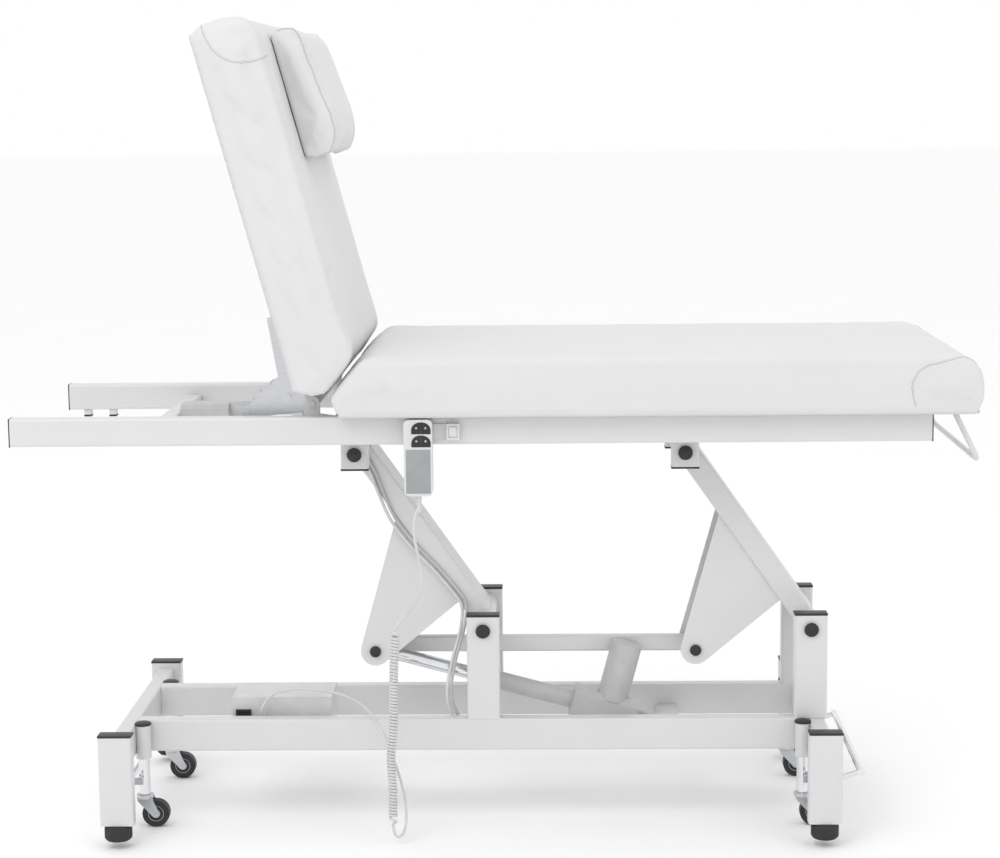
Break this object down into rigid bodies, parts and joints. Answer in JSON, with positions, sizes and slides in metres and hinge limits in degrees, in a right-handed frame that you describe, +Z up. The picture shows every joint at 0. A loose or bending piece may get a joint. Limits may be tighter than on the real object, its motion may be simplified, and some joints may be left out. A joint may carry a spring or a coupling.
{
  "type": "electric facial treatment bed",
  "caption": "Height-adjustable treatment bed with a reclining back, a parallelogram lift, a lowering castor set, a handset and a pillow.",
  "frame": {"origin": "on the floor under the middle of the bed's overall box", "axes": "+X points to the foot end, -Y is the side with the handset, +Z is up"},
  "size_m": [1.708, 0.62, 1.4753],
  "materials": {
    "white_steel": "satin",
    "black_plastic": "satin",
    "black_rubber": "matte",
    "chrome": "polished",
    "zinc_steel": "satin",
    "leatherette": "satin",
    "plywood": "matte",
    "grey_plastic": "satin",
    "white_plastic": "satin",
    "tyre": "matte"
  },
  "bodies": {
    "base": {"base_side_near": "white_steel", "base_side_far": "white_steel", "end_frame_head": "white_steel", "end_frame_foot": "white_steel", "axle_head_lower": "black_plastic", "axle_foot_lower": "black_plastic", "control_box": "white_plastic", "mains_inlet": "black_plastic", "motor_mount": "white_steel", "handset_lead": "white_plastic", "handset_coil": "white_plastic", "handset_tail": "white_plastic"},
    "arm_head": {"lift_arm_head": "white_steel", "arm_cable": "grey_plastic"},
    "arm_foot": {"lift_arm_foot": "white_steel"},
    "tie": {"tie_bar": "white_steel"},
    "motor": {"lift_motor": "grey_plastic"},
    "rod": {"lift_rod": "chrome"},
    "deck": {"deck_rail_near": "white_steel", "deck_rail_far": "white_steel", "deck_cross_head": "white_steel", "deck_cross_foot": "white_steel", "deck_cross_motor": "white_steel", "axle_head_upper": "black_plastic", "axle_foot_upper": "black_plastic", "seat_board": "plywood", "seat_cushion": "leatherette", "back_motor": "grey_plastic", "handset_shell": "white_plastic", "switch_housing": "white_plastic", "paper_roll_bar": "white_steel"},
    "backrest": {"back_frame": "zinc_steel", "back_board": "plywood", "back_cushion": "leatherette", "pillow_pad": "black_plastic"},
    "pillow": {"head_pillow": "leatherette"},
    "back_yoke": {"back_rod": "zinc_steel"},
    "rocker": {"switch_rocker": "white_plastic"},
    "pedal": {"castor_pedal": "chrome"},
    "crank": {"castor_crank_head": "chrome"},
    "stem_head_near": {"castor_stem_head_near": "chrome"},
    "fork_head_near": {"castor_fork_head_near": "zinc_steel"},
    "wheel_head_near": {"castor_wheel_head_near": "tyre"},
    "foot_head_near": {"levelling_foot_head_near": "black_rubber"},
    "stem_head_far": {"castor_stem_head_far": "chrome"},
    "fork_head_far": {"castor_fork_head_far": "zinc_steel"},
    "wheel_head_far": {"castor_wheel_head_far": "tyre"},
    "foot_head_far": {"levelling_foot_head_far": "black_rubber"},
    "stem_foot_near": {"castor_stem_foot_near": "chrome"},
    "fork_foot_near": {"castor_fork_foot_near": "zinc_steel"},
    "wheel_foot_near": {"castor_wheel_foot_near": "tyre"},
    "foot_foot_near": {"levelling_foot_foot_near": "black_rubber"},
    "stem_foot_far": {"castor_stem_foot_far": "chrome"},
    "fork_foot_far": {"castor_fork_foot_far": "zinc_steel"},
    "wheel_foot_far": {"castor_wheel_foot_far": "tyre"},
    "foot_foot_far": {"levelling_foot_foot_far": "black_rubber"},
    "key_upper_left": {"button_upper_left": "black_plastic"},
    "key_upper_right": {"button_upper_right": "black_plastic"},
    "key_lower_left": {"button_lower_left": "black_plastic"},
    "key_lower_right": {"button_lower_right": "black_plastic"}
  },
  "joints": [
    {"name": "lift", "type": "hinge", "parent": "base", "child": "arm_head", "pos_m": [-0.029, 0, 0.361], "axis": [0, -1, 0], "range_deg": [0, 42], "deforming": ["handset_lead", "handset_coil"]},
    {"name": "deck_level", "type": "hinge", "parent": "arm_head", "child": "deck", "pos_m": [-0.25843, 0, 0.68866], "axis": [0, -1, 0], "range_deg": [-42.5, 0.5]},
    {"name": "arm_foot_swing", "type": "hinge", "parent": "base", "child": "arm_foot", "pos_m": [0.57, 0, 0.361], "axis": [0, -1, 0], "range_deg": [-0.5, 42.5]},
    {"name": "tie_swing", "type": "hinge", "parent": "arm_head", "child": "tie", "pos_m": [-0.234, 0, 0.301], "axis": [0, -1, 0], "range_deg": [-42.5, 0.5]},
    {"name": "motor_tilt", "type": "hinge", "parent": "base", "child": "motor", "pos_m": [0.279, -0.02, 0.162], "axis": [0, -1, 0], "range_deg": [-0.5, 13.5]},
    {"name": "rod_stroke", "type": "slide", "parent": "motor", "child": "rod", "axis": [-0.9652, 0, 0.2615], "range_m": [-0.113, 0.001]},
    {"name": "recline", "type": "hinge", "parent": "deck", "child": "backrest", "pos_m": [-0.325, 0, 0.792], "axis": [0, -1, 0], "range_deg": [0, 75]},
    {"name": "back_rod_stroke", "type": "slide", "parent": "deck", "child": "back_yoke", "axis": [1, 0, 0], "range_m": [-0.001, 0.0555]},
    {"name": "pillow_off", "type": "slide", "parent": "backrest", "child": "pillow", "axis": [0.9659, 0, 0.2588], "range_m": [0, 0.12]},
    {"name": "pedal", "type": "hinge", "parent": "base", "child": "pedal", "pos_m": [0.5815, 0, 0.088], "axis": [0, 1, 0], "range_deg": [0, 35]},
    {"name": "crank_turn", "type": "hinge", "parent": "base", "child": "crank", "pos_m": [-0.6835, 0, 0.088], "axis": [0, 1, 0], "range_deg": [-35.5, 0.5]},
    {"name": "castor_drop_head_near", "type": "slide", "parent": "base", "child": "stem_head_near", "axis": [0, 0, 1], "range_m": [-0.0005, 0.0205]},
    {"name": "castor_swivel_head_near", "type": "hinge", "parent": "stem_head_near", "child": "fork_head_near", "pos_m": [-0.656, -0.155, 0.06], "axis": [0, 0, 1], "continuous": true},
    {"name": "wheel_spin_head_near", "type": "hinge", "parent": "fork_head_near", "child": "wheel_head_near", "pos_m": [-0.636, -0.155, 0.025], "axis": [0, 1, 0], "continuous": true},
    {"name": "foot_screw_head_near", "type": "slide", "parent": "base", "child": "foot_head_near", "axis": [0, 0, -1], "range_m": [0, 0.01]},
    {"name": "castor_drop_head_far", "type": "slide", "parent": "base", "child": "stem_head_far", "axis": [0, 0, 1], "range_m": [-0.0005, 0.0205]},
    {"name": "castor_swivel_head_far", "type": "hinge", "parent": "stem_head_far", "child": "fork_head_far", "pos_m": [-0.656, 0.155, 0.06], "axis": [0, 0, 1], "continuous": true},
    {"name": "wheel_spin_head_far", "type": "hinge", "parent": "fork_head_far", "child": "wheel_head_far", "pos_m": [-0.636, 0.155, 0.025], "axis": [0, 1, 0], "continuous": true},
    {"name": "foot_screw_head_far", "type": "slide", "parent": "base", "child": "foot_head_far", "axis": [0, 0, -1], "range_m": [0, 0.01]},
    {"name": "castor_drop_foot_near", "type": "slide", "parent": "base", "child": "stem_foot_near", "axis": [0, 0, 1], "range_m": [-0.0005, 0.0205]},
    {"name": "castor_swivel_foot_near", "type": "hinge", "parent": "stem_foot_near", "child": "fork_foot_near", "pos_m": [0.554, -0.155, 0.06], "axis": [0, 0, 1], "continuous": true},
    {"name": "wheel_spin_foot_near", "type": "hinge", "parent": "fork_foot_near", "child": "wheel_foot_near", "pos_m": [0.574, -0.155, 0.025], "axis": [0, 1, 0], "continuous": true},
    {"name": "foot_screw_foot_near", "type": "slide", "parent": "base", "child": "foot_foot_near", "axis": [0, 0, -1], "range_m": [0, 0.01]},
    {"name": "castor_drop_foot_far", "type": "slide", "parent": "base", "child": "stem_foot_far", "axis": [0, 0, 1], "range_m": [-0.0005, 0.0205]},
    {"name": "castor_swivel_foot_far", "type": "hinge", "parent": "stem_foot_far", "child": "fork_foot_far", "pos_m": [0.554, 0.155, 0.06], "axis": [0, 0, 1], "continuous": true},
    {"name": "wheel_spin_foot_far", "type": "hinge", "parent": "fork_foot_far", "child": "wheel_foot_far", "pos_m": [0.574, 0.155, 0.025], "axis": [0, 1, 0], "continuous": true},
    {"name": "foot_screw_foot_far", "type": "slide", "parent": "base", "child": "foot_foot_far", "axis": [0, 0, -1], "range_m": [0, 0.01]},
    {"name": "press_upper_left", "type": "slide", "parent": "deck", "child": "key_upper_left", "axis": [0, 1, 0], "range_m": [0, 0.0012], "stiffness_N_per_m": 600},
    {"name": "press_upper_right", "type": "slide", "parent": "deck", "child": "key_upper_right", "axis": [0, 1, 0], "range_m": [0, 0.0012], "stiffness_N_per_m": 600},
    {"name": "press_lower_left", "type": "slide", "parent": "deck", "child": "key_lower_left", "axis": [0, 1, 0], "range_m": [0, 0.0012], "stiffness_N_per_m": 600},
    {"name": "press_lower_right", "type": "slide", "parent": "deck", "child": "key_lower_right", "axis": [0, 1, 0], "range_m": [0, 0.0012], "stiffness_N_per_m": 600},
    {"name": "switch_tilt", "type": "hinge", "parent": "deck", "child": "rocker", "pos_m": [-0.0725, -0.2763, 0.7485], "axis": [1, 0, 0], "range_deg": [0, 3]}
  ],
  "couplings": [
    {"joint": "deck_level", "follows": "lift", "ratio": -1},
    {"joint": "arm_foot_swing", "follows": "lift", "ratio": 1},
    {"joint": "tie_swing", "follows": "lift", "ratio": -1},
    {"joint": "motor_tilt", "follows": "lift", "ratio": 0.30503},
    {"joint": "rod_stroke", "follows": "lift", "m_per_rad": -0.15135},
    {"joint": "back_rod_stroke", "follows": "recline", "m_per_rad": 0.041448},
    {"joint": "crank_turn", "follows": "pedal", "ratio": -1},
    {"joint": "castor_drop_head_near", "follows": "pedal", "m_per_rad": 0.03274},
    {"joint": "castor_drop_head_far", "follows": "pedal", "m_per_rad": 0.03274},
    {"joint": "castor_drop_foot_near", "follows": "pedal", "m_per_rad": 0.03274},
    {"joint": "castor_drop_foot_far", "follows": "pedal", "m_per_rad": 0.03274}
  ]
}
